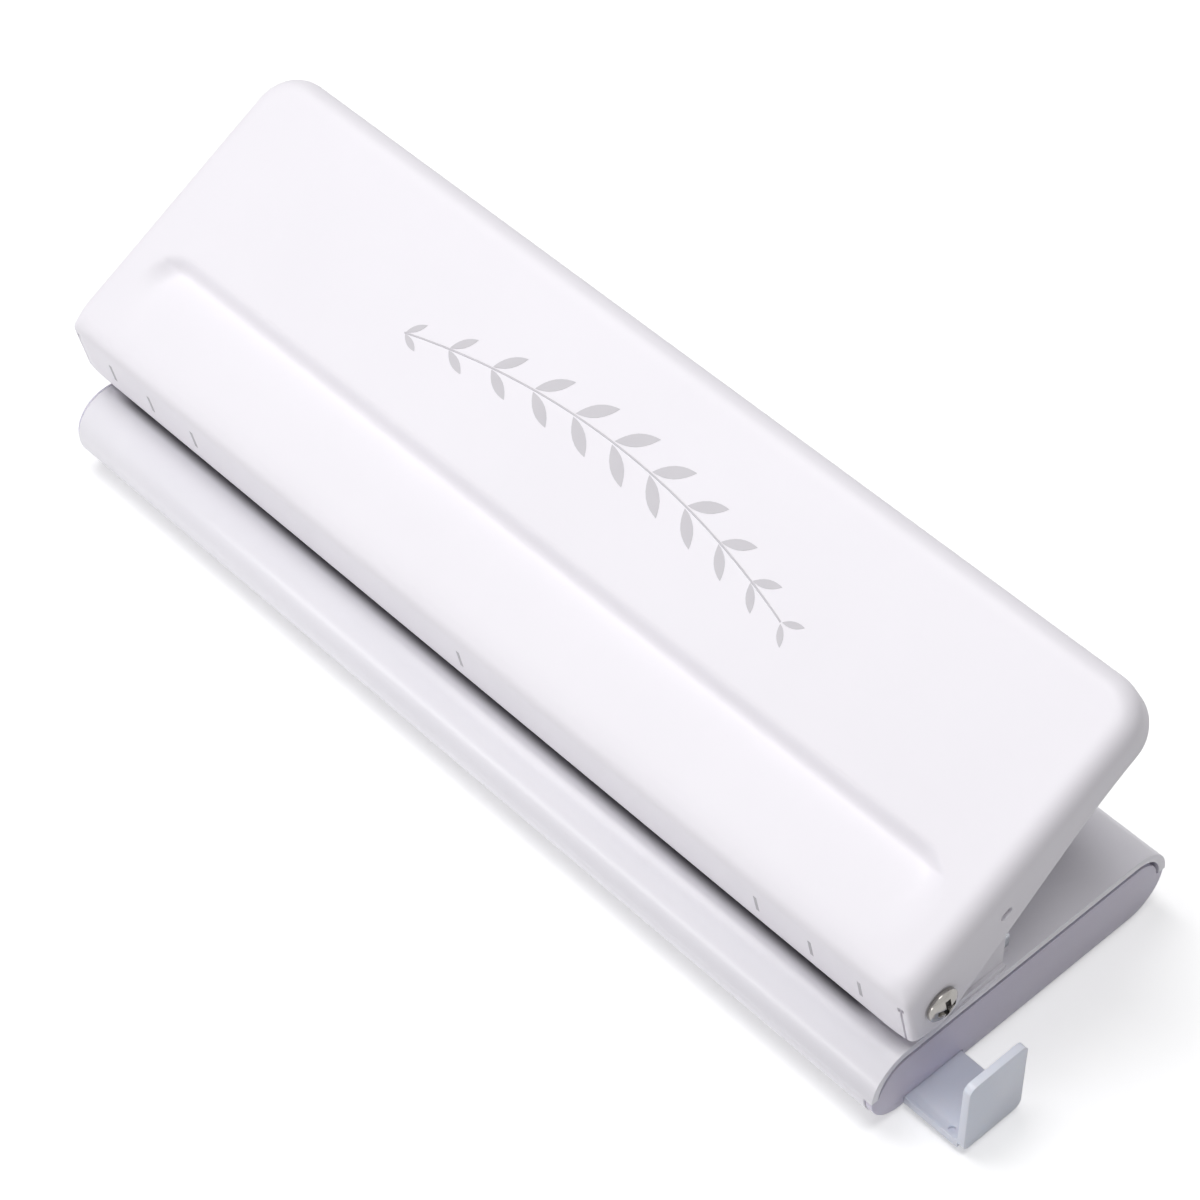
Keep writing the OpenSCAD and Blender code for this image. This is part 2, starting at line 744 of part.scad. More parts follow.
module press_bar() {
    half = lever_half - strip_margin - bar_end;
    color("silver")
    on_lever() along_x(-half, half)
        translate(bar_seat) rotate(-strip_slope) {
            translate([-bar_w / 2, -bar_t]) square([bar_w, bar_t]);
            translate([-nose_r, -nose_reach]) square([2 * nose_r, nose_reach - bar_t / 2]);
            translate([0, -nose_reach]) circle(nose_r);
        }
}

module paper_guide() {
    catch_side = 2;
    dot_d = 1;
    dot_depth = 0.4;
    dot_set = [1.7, 0.9];
    fillet_x = upright_in - guide_fillet;
    fillet_z = ruler_top + guide_fillet;
    color("lightsteelblue")
    difference() {
        union() {
            block([ruler_end, ruler_front, ruler_z], [upright_in + eps, ruler_back, ruler_top]);
            // catch that stops the ruler at the keeper
            block([ruler_end, ruler_front + catch_side, ruler_z],
                  [ruler_end + catch_len, ruler_back - catch_side, ruler_top + catch_h]);
            along_x(upright_in, upright_in + upright_t) upright_outline();
            // fillet between ruler and upright
            difference() {
                block([fillet_x, ruler_front, ruler_top - eps], [upright_in + eps, ruler_back, fillet_z]);
                translate([fillet_x, ruler_front - 1, fillet_z])
                    rotate([-90, 0, 0]) cylinder(h = guide_w + 2, r = guide_fillet);
            }
        }
        translate([upright_in - dot_set[0], ruler_front + dot_set[1], ruler_top - dot_depth])
            cylinder(h = 2 * dot_depth, d = dot_d);
    }
}

module upright_outline() {
    low = [ruler_front, upright_low];
    translate(low + [upright_r, 0]) square([guide_w - 2 * upright_r, upright_h]);
    translate(low + [0, upright_r]) square([guide_w, upright_h - 2 * upright_r]);
    for (y = [upright_r, guide_w - upright_r]) for (z = [upright_r, upright_h - upright_r])
        translate(low + [y, z]) circle(upright_r);
}

module chip_tray() {
    w = tray_wall;
    right = left_face + tray_len;
    color("lightsteelblue")
    difference() {
        union() {
            end_plate();
            along_x(left_face - eps, right) polygon([
                [tray_front, tray_top], [tray_front, tray_high], [tray_step, tray_high],
                [tray_step, tray_low], [tray_back, tray_low], [tray_back, tray_top]
            ]);
        }
        along_x(left_face + w, right - w) polygon([
            [tray_front + w, tray_top + 1], [tray_front + w, tray_high + w], [tray_step + w, tray_high + w],
            [tray_step + w, tray_low + w], [tray_back - w, tray_low + w], [tray_back - w, tray_top + 1]
        ]);
        // finger scoop in the end plate
        translate([left_face - end_plate_t - scoop_r + scoop_depth, 0, -1])
            cylinder(h = base_top + 2, r = scoop_r);
    }
}

base_shell();
right_end_cap();
anti_slip_mat();
guide_keeper();
punch_frame();
spacer_strip();
guide_plate();
frame_screws();
pivot_screw(-1);  // pivot_screw_left
pivot_screw(1);  // pivot_screw_right
pivot_washer(-1);  // pivot_washer_left
pivot_washer(1);  // pivot_washer_right
pivot_insert(-1);  // pivot_insert_left
pivot_insert(1);  // pivot_insert_right
for (i = [0:5]) guide_bush(i);
for (i = [0:5]) spring(i);
for (i = [0:5]) punch_pin(i);
for (i = [0:5]) spring_collar(i);
lever_cover();
press_bar();
paper_guide();
chip_tray();
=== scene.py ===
import json
import math

import bmesh
import bpy
from mathutils import Matrix, Vector


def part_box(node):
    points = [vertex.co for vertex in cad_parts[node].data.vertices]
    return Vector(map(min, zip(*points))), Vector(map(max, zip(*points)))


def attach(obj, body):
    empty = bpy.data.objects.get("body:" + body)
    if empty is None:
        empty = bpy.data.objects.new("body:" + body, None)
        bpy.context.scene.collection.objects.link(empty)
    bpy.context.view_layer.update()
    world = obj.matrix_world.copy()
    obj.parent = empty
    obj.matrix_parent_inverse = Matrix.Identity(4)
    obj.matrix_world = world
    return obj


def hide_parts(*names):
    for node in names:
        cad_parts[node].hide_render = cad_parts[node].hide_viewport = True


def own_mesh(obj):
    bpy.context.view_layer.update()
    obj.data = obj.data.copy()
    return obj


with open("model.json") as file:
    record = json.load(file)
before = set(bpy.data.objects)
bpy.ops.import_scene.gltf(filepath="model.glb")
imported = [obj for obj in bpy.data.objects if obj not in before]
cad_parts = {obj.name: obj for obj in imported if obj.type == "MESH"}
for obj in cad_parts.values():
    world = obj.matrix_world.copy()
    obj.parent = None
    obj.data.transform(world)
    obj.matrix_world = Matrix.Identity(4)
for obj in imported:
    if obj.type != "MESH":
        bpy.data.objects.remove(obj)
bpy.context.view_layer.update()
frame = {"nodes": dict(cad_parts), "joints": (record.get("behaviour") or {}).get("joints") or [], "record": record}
scene = bpy.context.scene
nodes = frame["nodes"]
bodyOf = {name: body for body, names in frame["record"]["behaviour"]["bodies"].items() for name in names}
slotOf = {row["node"]: row["material_slot"] for row in frame["record"]["subparts"]}
mm = 0.001
mmPerMetre = 1000
hair = 1e-6  # less than any size here
six = range(1, 7)
print("frame loaded:", len(nodes), "nodes")


# Small helpers

def colour(hexText):  # sRGB hex to linear
    parts = [int(hexText[i:i + 2], 16) / 255 for i in (1, 3, 5)]
    linear = [c / 12.92 if c <= 0.04045 else ((c + 0.055) / 1.055) ** 2.4 for c in parts]
    return (*linear, 1.0)


def addNode(tree, kind, inputs=None, **settings):  # inputs are plain values or other nodes' sockets
    node = tree.nodes.new(kind)
    for name, value in settings.items():
        setattr(node, name, value)
    for socket, value in (inputs or {}).items():
        if isinstance(value, bpy.types.NodeSocket):
            tree.links.new(value, node.inputs[socket])
        else:
            node.inputs[socket].default_value = value
    return node


def smoothMesh(mesh, sharpDegrees):
    mesh.shade_smooth()
    mesh.set_sharp_from_angle(angle=math.radians(sharpDegrees))


def baked(piece):  # plain mesh of a piece with its modifiers worked in
    bpy.context.view_layer.update()
    graph = bpy.context.evaluated_depsgraph_get()
    mesh = bpy.data.meshes.new_from_object(piece.evaluated_get(graph), depsgraph=graph)
    piece.modifiers.clear()
    piece.data = mesh
    return mesh


def newPiece(name, mesh, material):
    if material.name not in mesh.materials:
        mesh.materials.clear()
        mesh.materials.append(material)
    piece = bpy.data.objects.new(name, mesh)
    scene.collection.objects.link(piece)
    return piece


def newTree(name, **inputs):  # Geometry Nodes tree; its ports are the identifiers of its named inputs
    tree = bpy.data.node_groups.new(name, "GeometryNodeTree")
    ports = {}
    for title, kind in inputs.items():
        socket = tree.interface.new_socket(title, in_out="INPUT", socket_type="NodeSocket" + kind)
        ports[title] = socket.identifier
    tree.interface.new_socket("Geometry", in_out="OUTPUT", socket_type="NodeSocketGeometry")
    return tree, ports, addNode(tree, "NodeGroupInput").outputs


def closeTree(tree, shape, material):  # instances made real and dressed, as the export needs them
    real = addNode(tree, "GeometryNodeRealizeInstances", {"Geometry": shape})
    dressed = addNode(tree, "GeometryNodeSetMaterial", {
        "Geometry": real.outputs["Geometry"], "Material": material,
    })
    addNode(tree, "NodeGroupOutput", {"Geometry": dressed.outputs["Geometry"]})


def bakedTree(piece, tree, ports, values):  # the inputs are set by identifier before the tree first runs
    maker = piece.modifiers.new("maker", "NODES")
    maker.node_group = tree
    for name, value in values.items():
        maker[ports[name]] = value
    return baked(piece)


def fit(piece, body, slot, *replaced):
    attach(piece, body)
    if replaced:
        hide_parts(*replaced)
    return piece


# Materials

noiseDetail = {"cloud": 3.0, "grain": 4.0}


def startMaterial(name):
    material = bpy.data.materials.new(name)
    material.use_nodes = True
    tree = material.node_tree
    shader = tree.nodes["Principled BSDF"]
    place = addNode(tree, "ShaderNodeTexCoord").outputs["Object"]
    return material, tree, shader, place


def twoTone(tree, shader, place, look):  # soft cloudy drift between two close colours
    cloud = addNode(tree, "ShaderNodeTexNoise", {
        "Vector": place, "Scale": mmPerMetre / look["cloudMm"], "Detail": noiseDetail["cloud"],
    })
    mix = addNode(tree, "ShaderNodeMix", {"Factor": cloud.outputs["Fac"]}, data_type="RGBA")
    mix.inputs["A"].default_value = colour(look["dark"])
    mix.inputs["B"].default_value = colour(look["light"])
    tree.links.new(mix.outputs["Result"], shader.inputs["Base Color"])


def roughAndBump(tree, shader, place, look):  # fine grain that breaks up the gloss and stands up a little
    if "stretch" in look:
        mapping = addNode(tree, "ShaderNodeMapping", {"Vector": place, "Scale": look["stretch"]})
        place = mapping.outputs["Vector"]
    grain = addNode(tree, "ShaderNodeTexNoise", {
        "Vector": place, "Scale": mmPerMetre / look["grainMm"], "Detail": noiseDetail["grain"],
    }).outputs["Fac"]
    low, high = look["roughness"]
    rough = addNode(tree, "ShaderNodeMapRange", {"Value": grain, "To Min": low, "To Max": high})
    tree.links.new(rough.outputs["Result"], shader.inputs["Roughness"])
    bump = addNode(tree, "ShaderNodeBump", {"Height": grain, "Distance": look["grainDepthMm"] * mm})
    tree.links.new(bump.outputs["Normal"], shader.inputs["Normal"])


def finished(name, look):  # material from one look: two tones, grain and its shader's fixed values
    material, tree, shader, place = startMaterial(name)
    twoTone(tree, shader, place, look)
    roughAndBump(tree, shader, place, look)
    for socket, value in look["shader"].items():
        shader.inputs[socket].default_value = value
    return material


# stoved enamel on sheet steel: even white, a soft sheen and the faint ripple of sprayed paint
stovedEnamel = finished("stovedEnamel", {
    "light": "#F8F5FB", "dark": "#F3F0F6", "cloudMm": 26, "grainMm": 1.6, "grainDepthMm": 0.008,
    "roughness": (0.46, 0.56), "shader": {"IOR": 1.5},
})
# painted tube of the base: the same white a shade cooler and a little glossier
paintedTube = finished("paintedTube", {
    "light": "#F1EFF5", "dark": "#EBE9F0", "cloudMm": 18, "grainMm": 1.2, "grainDepthMm": 0.0015,
    "stretch": (0.04, 1, 1), "roughness": (0.26, 0.34),
    "shader": {"IOR": 1.5, "Coat Weight": 0.15, "Coat Roughness": 0.2},
})
# grey on the tube's top along the die plate's front edge: it deepens the shade of the paper slot,
# which the lamps alone leave paler than it looks on the real one
slotShade = {"tone": "#6E6B70", "aheadMm": 2.8, "fullMm": 0.8, "underMm": 1.5, "endMm": 5, "overMm": 8}


def shadeSlot(material):
    tree = material.node_tree
    shader = tree.nodes["Principled BSDF"]
    clean = shader.inputs["Base Color"].links[0].from_socket
    place = addNode(tree, "ShaderNodeTexCoord").outputs["Object"]
    at = addNode(tree, "ShaderNodeSeparateXYZ", {0: place}).outputs
    beside = addNode(tree, "ShaderNodeMath", {0: at["X"]}, operation="ABSOLUTE").outputs[0]
    plateLow, plateHigh = (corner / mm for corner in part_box("punch_frame"))
    front = plateLow.y
    shade = None
    for value, low, high, deepens in (
        (at["Y"], front - slotShade["aheadMm"], front - slotShade["fullMm"], True),
        (at["Y"], front + slotShade["underMm"], front + 2 * slotShade["underMm"], False),
        (beside, plateHigh.x - 2 * slotShade["endMm"], plateHigh.x - slotShade["endMm"], False),
        (at["Z"], slotShade["overMm"], plateLow.z, True),
    ):
        share = addNode(tree, "ShaderNodeMapRange", {
            "Value": value, "From Min": low * mm, "From Max": high * mm,
            "To Min": 0.0 if deepens else 1.0, "To Max": 1.0 if deepens else 0.0,
        }, interpolation_type="SMOOTHSTEP").outputs["Result"]
        if shade:
            share = addNode(tree, "ShaderNodeMath", {0: shade, 1: share}, operation="MULTIPLY").outputs[0]
        shade = share
    mix = addNode(tree, "ShaderNodeMix", {"Factor": shade}, data_type="RGBA")
    tree.links.new(clean, mix.inputs["A"])
    mix.inputs["B"].default_value = colour(slotShade["tone"])
    tree.links.new(mix.outputs["Result"], shader.inputs["Base Color"])


shadeSlot(paintedTube)
# moulded polypropylene: pale lavender-grey, matt from the mould, a little waxy where light enters its edges
mouldedPolypropylene = finished("mouldedPolypropylene", {
    "light": "#D8D5E4", "dark": "#D2CBDC", "cloudMm": 14, "grainMm": 0.5, "grainDepthMm": 0.012,
    "roughness": (0.38, 0.52),
    "shader": {
        "IOR": 1.49, "Subsurface Weight": 0.25, "Subsurface Scale": 0.0015,
        "Subsurface Radius": (0.7, 0.9, 1.0),
    },
})
# moulded polystyrene of the guide: paler and bluer, smooth from a polished mould, lighter at thin edges
mouldedStyrene = finished("mouldedStyrene", {
    "light": "#E3E8F4", "dark": "#DEE0EE", "cloudMm": 10, "grainMm": 0.5, "grainDepthMm": 0.005,
    "roughness": (0.30, 0.42),
    "shader": {
        "IOR": 1.59, "Subsurface Weight": 0.3, "Subsurface Scale": 0.002,
        "Subsurface Radius": (0.7, 0.9, 1.0),
    },
})
# grain of the metals is drawn at 0.3 to 0.6 mm, coarser than real tool marks, so that it shows in the render
# zinc-plated sheet: cool grey metal with a rolled grain along its length
zincSheet = finished("zincSheet", {
    "light": "#C9CCD1", "dark": "#B4B8BE", "cloudMm": 6, "grainMm": 0.6, "grainDepthMm": 0.004,
    "stretch": (0.08, 1, 1), "roughness": (0.30, 0.44), "shader": {"Metallic": 1.0},
})
# ground tool steel: bright with fine rings from the grinding wheel
groundSteel = finished("groundSteel", {
    "light": "#D2D3D6", "dark": "#BABCC1", "cloudMm": 4, "grainMm": 0.5, "grainDepthMm": 0.003,
    "stretch": (0.2, 0.2, 3), "roughness": (0.18, 0.28), "shader": {"Metallic": 1.0},
})
# drawn spring wire and stamped rings: darker steel with a light oil sheen
springSteel = finished("springSteel", {
    "light": "#A9ABB0", "dark": "#8D9096", "cloudMm": 3, "grainMm": 0.4, "grainDepthMm": 0.003,
    "roughness": (0.24, 0.36), "shader": {"Metallic": 1.0},
})
# nickel-plated screws: warm grey and nearly mirror-bright, so that they pick up dark and light round them
nickelPlate = finished("nickelPlate", {
    "light": "#B4B1AE", "dark": "#97948F", "cloudMm": 2, "grainMm": 0.35, "grainDepthMm": 0.003,
    "roughness": (0.14, 0.24), "shader": {"Metallic": 1.0},
})
# painted shade in a screw's driven recess: dark dull metal that stands in for the shade inside the cross
paintedRecessShade = finished("paintedRecessShade", {
    "light": "#3A3836", "dark": "#2A2827", "cloudMm": 1, "grainMm": 0.3, "grainDepthMm": 0.004,
    "roughness": (0.4, 0.55), "shader": {"Metallic": 1.0},
})
# turned brass: yellow metal with fine tool marks round it
turnedBrass = finished("turnedBrass", {
    "light": "#D9B871", "dark": "#BF9A52", "cloudMm": 3, "grainMm": 0.4, "grainDepthMm": 0.004,
    "stretch": (0.3, 0.3, 2.5), "roughness": (0.22, 0.34), "shader": {"Metallic": 1.0},
})
# natural nylon: milky and soft-edged
naturalNylon = finished("naturalNylon", {
    "light": "#ECEAE2", "dark": "#E0DDD3", "cloudMm": 4, "grainMm": 0.5, "grainDepthMm": 0.006,
    "roughness": (0.40, 0.52), "shader": {"IOR": 1.53, "Subsurface Weight": 0.2, "Subsurface Scale": 0.001},
})
# rubber sheet: dark, dull and finely pimpled so that it grips
gripRubber = finished("gripRubber", {
    "light": "#36373A", "dark": "#2A2B2D", "cloudMm": 12, "grainMm": 0.8, "grainDepthMm": 0.05,
    "roughness": (0.72, 0.86), "shader": {"IOR": 1.52},
})
# pad-printed ink: thin matt grey film on the paint
printedInk = finished("printedInk", {
    "light": "#C4C1C6", "dark": "#B7B4BA", "cloudMm": 5, "grainMm": 0.4, "grainDepthMm": 0.004,
    "roughness": (0.45, 0.6), "shader": {"IOR": 1.5},
})
# thinned ink of the printed sprig: a pale grey that stays quiet on the white
paleInk = finished("paleInk", {
    "light": "#D3D0D5", "dark": "#CBC8CE", "cloudMm": 5, "grainMm": 0.4, "grainDepthMm": 0.004,
    "roughness": (0.45, 0.6), "shader": {"IOR": 1.5},
})
print("materials ready:", len(bpy.data.materials))


# Camera at the photograph's viewing angle, from the fitted view of a 1200 by 1200 frame

view = {
    "azimuth": 46.926, "elevation": 47.779, "focalPixels": 3821.84, "framePixels": 1200, "sensorMm": 36,
    "distanceMm": 513.77, "aimRightMm": -22.11, "aimUpMm": -22.242, "nearestM": 0.01,
}


def addCamera():
    turn = math.radians(view["azimuth"])
    rise = math.radians(view["elevation"])
    back = Vector((math.sin(turn) * math.cos(rise), -math.cos(turn) * math.cos(rise), math.sin(rise)))
    right = Vector((math.cos(turn), math.sin(turn), 0))
    up = back.cross(right)
    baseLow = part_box("base_shell")[0]
    footOfFront = Vector((0, baseLow.y, baseLow.z))
    away = view["distanceMm"] * back - view["aimRightMm"] * right - view["aimUpMm"] * up
    eye = footOfFront + away * mm
    camera = bpy.data.cameras.new("camera")
    camera.sensor_width = view["sensorMm"]
    camera.lens = view["focalPixels"] / view["framePixels"] * view["sensorMm"]
    camera.clip_start = view["nearestM"]
    holder = bpy.data.objects.new("camera", camera)
    holder.matrix_world = Matrix.Translation(eye) @ Matrix((right, up, back)).transposed().to_4x4()
    scene.collection.objects.link(holder)
    scene.camera = holder


addCamera()
print("camera placed")


# Lever: pressed from one sheet, drawn as its outer skin and given its thickness inwards
# x runs along it, u back from the plate's front edge and v along the plate's normal, all in mm

lever = {
    "width": 48, "sheet": 1.2, "edgeRound": 3, "backCorner": 6.5, "frontCorner": 4.2, "cornerSquareness": 12,
    "tilt": 29, "pivotU": 3.2, "pivotV": 7.65, "pivotHole": 2.7, "skirtLean": 16.6, "sharpDegrees": 42,
    "heel": 1.3, "heelRound": 1.2, "lipStart": 35, "lipDepth": 6.3, "lipRound": 1.6,
    "stripMargin": 5, "stripFront": 3.4, "stripFoot": 15.1, "stripBack": 17.6, "stripDepth": 1.75,
    "stripCorner": 6.5, "stripHollow": 1.15, "stripFade": 2.5,
    "rimRound": 0.2, "rimDegrees": 50, "rimSegments": 2,
    "slitInside": 1.45, "slitWide": 0.35, "slitTop": 2.6, "relief": 0.9,
    "ovalU": 16.6, "ovalDrop": 6.1, "ovalSize": 1.3, "ovalRun": 0.8, "ovalSteps": (-0.5, 0, 0.5),
    "cutterSides": 40, "cutterHalf": 100,
}
# rows and columns of the skin: close together at the strip's wall and at the bends, wide on the flat
skin = {
    "plainX": 2.2, "foldX": 0.42, "endX": 0.7, "foldReach": 7, "pastFold": 0.5,
    "frontU": 0.3, "floorU": 0.7, "wallU": 0.26, "plainU": 1.3, "backU": 0.6, "floorReach": 2,
    "beforeSlit": (0, 0.25, 0.45), "afterSlit": (0.92, 0.96, 1), "filletSteps": 8, "wallRows": 9,
    "deepest": 30, "halvings": 40,
}
hinge = next(j for j in frame["joints"] if j["name"] == "lever_press")
pivot = Vector(hinge["pos_m"]) / mm
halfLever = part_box("lever_cover")[1].x / mm
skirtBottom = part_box("lever_cover")[0].z / mm
tilt = math.radians(lever["tilt"])
skirtLean = math.radians(lever["skirtLean"])
flatFront = lever["edgeRound"] * (1 - math.sin(skirtLean)) / math.cos(skirtLean)


def plateToWorld(x, u, v):
    along = u - lever["pivotU"]
    above = v + lever["pivotV"]
    return Vector((
        x,
        pivot.y + along * math.cos(tilt) - above * math.sin(tilt),
        pivot.z + along * math.sin(tilt) + above * math.cos(tilt),
    ))


def ruled(*stretches):  # places along a line; a stretch is its start, its end and its widest spacing
    places = [stretches[0][0]]
    for low, high, step in stretches:
        count = max(1, math.ceil((high - low) / step - hair))
        places += [low + (high - low) * k / count for k in range(1, count + 1)]
    return places


def eased(share):  # 0 to 1 with a level start and end
    return share * share * (3 - 2 * share)


def lastBelow(high, isBelow):  # highest place from 0 on that still passes the test, found by halving
    low = 0
    for step in range(skin["halvings"]):
        middle = (low + high) / 2
        if isBelow(middle):
            low = middle
        else:
            high = middle
    return low


def softMin(a, b, reach):  # smaller of two values, with a rounded passage where they meet
    near = max(reach - abs(a - b), 0) / reach
    return min(a, b) - near * near * reach / 4


def lowerEdge(y):  # height of the lever's lower edge: level skirt, rising flange, lip
    heelY = pivot.y + lever["heel"]
    lip = plateToWorld(0, lever["lipStart"], -lever["lipDepth"])
    rising = skirtBottom + (y - heelY) * (lip.z - skirtBottom) / (lip.y - heelY)
    alongLip = lip.z + (y - lip.y) * math.tan(tilt)
    return -softMin(-skirtBottom, -softMin(rising, alongLip, lever["lipRound"]), lever["heelRound"])


def flangeOut(depth):  # how far the round of the edge has carried the sheet out at a depth under the plate
    r = lever["edgeRound"]
    depth = min(depth, r)
    return math.sqrt(depth * (2 * r - depth))


def skirtOut(depth):  # the same at the front, where the skirt goes on outwards at its lean
    straight = lever["edgeRound"] * (1 - math.sin(skirtLean))
    return flangeOut(min(depth, straight)) + max(depth - straight, 0) * math.tan(skirtLean)


def stripDepth(x, u):  # how far the pressed strip lies below the plate
    halfX = halfLever - lever["stripMargin"]
    r = lever["stripCorner"]
    fall = (u - lever["stripFront"]) / (lever["stripFoot"] - lever["stripFront"])
    fall = min(max(fall, 0), 1)
    besideX = (halfX - abs(x)) / (1 + lever["stripFade"] * (1 - fall))
    besideU = lever["stripBack"] - u
    if besideX < r and besideU < r:
        inside = r - math.hypot(r - besideX, r - besideU)
    else:
        inside = min(besideX, besideU)
    wall = min(max(inside / (lever["stripBack"] - lever["stripFoot"]), 0), 1)
    return lever["stripDepth"] * fall ** lever["stripHollow"] * eased(wall)


def leverSkin():
    r = lever["edgeRound"]
    flatHalf = halfLever - r
    flatBack = lever["width"] - r
    frontR = lever["frontCorner"] - r
    backR = lever["backCorner"] - r
    foldX = halfLever - lever["stripMargin"]

    def planPlace(x, u):  # plate place with the corners drawn round, and the way out of it
        side = 1 if x > 0 else -1
        for corner, edge, way in ((frontR, flatFront, -1), (backR, flatBack, 1)):
            a = (abs(x) - flatHalf + corner) / corner
            b = (way * (u - edge) + corner) / corner
            if a > 0 and b > 0:
                outX = a * math.sqrt(1 - b * b / 2)
                outU = b * math.sqrt(1 - a * a / 2)
                placeX = side * (flatHalf - corner + corner * outX)
                return placeX, edge + way * corner * (outU - 1), side * outX, way * outU
        atSide = abs(x) > flatHalf - hair
        return x, u, side if atSide else 0, 0 if atSide else (-1 if u < flatBack / 2 else 1)

    def hung(place, depth):  # point of the wall under a rim place; front corners turn square on the way down
        px, pu, outX, outU = place
        if outU >= 0:
            return plateToWorld(px + outX * flangeOut(depth), pu + outU * flangeOut(depth), -depth)
        power = lever["cornerSquareness"]
        squared = (abs(outX) ** power + abs(outU) ** power) ** (-1 / power)
        grown = 1 + (squared - 1) * eased(min(depth / lever["slitTop"], 1))
        return plateToWorld(px + outX * grown * flangeOut(depth), pu + outU * grown * skirtOut(depth), -depth)

    def shareAt(x):  # share of the corner at which the wall hangs down to a place along the lever
        def isBefore(share):
            corner = planPlace(flatHalf - frontR * (1 - share), flatFront)
            return hung(corner, lever["slitTop"]).x < x

        return lastBelow(1, isBefore)

    def lowestDepth(place):  # depth at which the wall under a rim place meets the lower edge
        def isAbove(depth):
            at = hung(place, depth)
            return at.z > lowerEdge(at.y)

        return lastBelow(skin["deepest"], isAbove)

    slitAt = halfLever - lever["slitInside"]
    slitHalf, reliefHalf = lever["slitWide"] / 2, lever["relief"] / 2
    slitShares = [shareAt(slitAt + step) for step in (-reliefHalf, -slitHalf, slitHalf, reliefHalf)]
    shares = [*skin["beforeSlit"], *slitShares, *skin["afterSlit"]]
    foldStart, foldEnd = foldX - skin["foldReach"], foldX + skin["pastFold"]
    halfXs = ruled(
        (0, foldStart, skin["plainX"]), (foldStart, foldEnd, skin["foldX"]),
        (foldEnd, flatHalf - frontR, skin["endX"]),
    )
    halfXs = halfXs[:-1] + [flatHalf - frontR + frontR * share for share in shares]
    xs = [-x for x in reversed(halfXs[1:])] + halfXs
    us = [flatFront + frontR * (1 - share) for share in reversed(shares)]
    floorStart, floorEnd = lever["stripFront"] + skin["floorReach"], lever["stripFoot"] - skin["floorReach"]
    wallEnd = lever["stripBack"] + skin["pastFold"]
    us = us[:-1] + ruled(
        (flatFront + frontR, floorStart, skin["frontU"]), (floorStart, floorEnd, skin["floorU"]),
        (floorEnd, wallEnd, skin["wallU"]), (wallEnd, flatBack - backR, skin["plainU"]),
        (flatBack - backR, flatBack, skin["backU"]),
    )

    points = []
    faces = []
    columns, rows = len(xs), len(us)
    for u in us:
        for x in xs:
            px, pu, outX, outU = planPlace(x, u)
            points.append(plateToWorld(px, pu, -stripDepth(px, pu)))
    for j in range(rows - 1):
        for i in range(columns - 1):
            a = j * columns + i
            faces.append((a, a + 1, a + columns + 1, a + columns))
    rim = [(i, 0) for i in range(columns)] + [(columns - 1, j) for j in range(1, rows)]
    rim += [(i, rows - 1) for i in range(columns - 2, -1, -1)] + [(0, j) for j in range(rows - 2, 0, -1)]

    fillet = math.acos(1 - lever["slitTop"] / r)
    steps, wallRows = skin["filletSteps"], skin["wallRows"]
    filletDepths = [r * (1 - math.cos(fillet * k / steps)) for k in range(1, steps + 1)]
    wallTop = lever["slitTop"] + lever["relief"]
    hanging = []
    for i, j in rim:
        place = planPlace(xs[i], us[j])
        lowest = lowestDepth(place)
        wallDepths = [wallTop + (lowest - wallTop) * k / wallRows for k in range(wallRows + 1)]
        chain = [j * columns + i]
        for depth in filletDepths + wallDepths:
            chain.append(len(points))
            points.append(hung(place, depth))
        hanging.append(chain)

    firstSlit = columns - len(skin["afterSlit"]) - len(slitShares)
    slits = {firstSlit + k: k for k in range(len(slitShares) - 1)}  # relief, slit and relief, by column
    slits.update({columns - 2 - c: k for c, k in slits.items()})
    for c in range(len(rim)):
        a = hanging[c]
        b = hanging[(c + 1) % len(rim)]
        for k in range(len(a) - 1):
            row = k - steps
            inSlit = c in slits and row >= 0 and (row == 0 or slits[c] == 1)
            if not inSlit:
                faces.append((a[k], a[k + 1], b[k + 1], b[k]))
    mesh = bpy.data.meshes.new("leverSkin")
    mesh.from_pydata([p * mm for p in points], [], faces)
    return mesh


def rodAlongX(radius, y, z):  # cutter through both flanges
    mesh = bpy.data.meshes.new("cutter")
    form = bmesh.new()
    turn = Matrix.Translation((0, y, z)) @ Matrix.Rotation(math.pi / 2, 4, "Y")
    bmesh.ops.create_cone(
        form, cap_ends=True, segments=lever["cutterSides"], radius1=radius, radius2=radius,
        depth=2 * lever["cutterHalf"] * mm, matrix=turn,
    )
    form.to_mesh(mesh)
    form.free()
    return mesh


def makeLever():
    piece = newPiece("leverCover", leverSkin(), stovedEnamel)
    wall = piece.modifiers.new("sheet", "SOLIDIFY")
    wall.thickness = lever["sheet"] * mm
    wall.offset = -1
    wall.use_even_offset = True
    cutters = [rodAlongX(lever["pivotHole"] / 2 * mm, pivot.y * mm, pivot.z * mm)]
    for shift in lever["ovalSteps"]:
        at = plateToWorld(0, lever["ovalU"] + shift * lever["ovalRun"], -lever["ovalDrop"]) * mm
        cutters.append(rodAlongX(lever["ovalSize"] / 2 * mm, at.y, at.z))
    helpers = [newPiece("cutter", mesh, stovedEnamel) for mesh in cutters]
    for helper in helpers:
        cut = piece.modifiers.new("hole", "BOOLEAN")
        cut.operation = "DIFFERENCE"
        cut.solver = "EXACT"
        cut.object = helper
    rim = piece.modifiers.new("rim", "BEVEL")
    rim.width = lever["rimRound"] * mm
    rim.segments = lever["rimSegments"]
    rim.limit_method = "ANGLE"
    rim.angle_limit = math.radians(lever["rimDegrees"])
    mesh = baked(piece)
    for helper in helpers:
        bpy.data.objects.remove(helper)
    smoothMesh(mesh, lever["sharpDegrees"])
    return fit(piece, "lever", "white_enamel", "lever_cover")


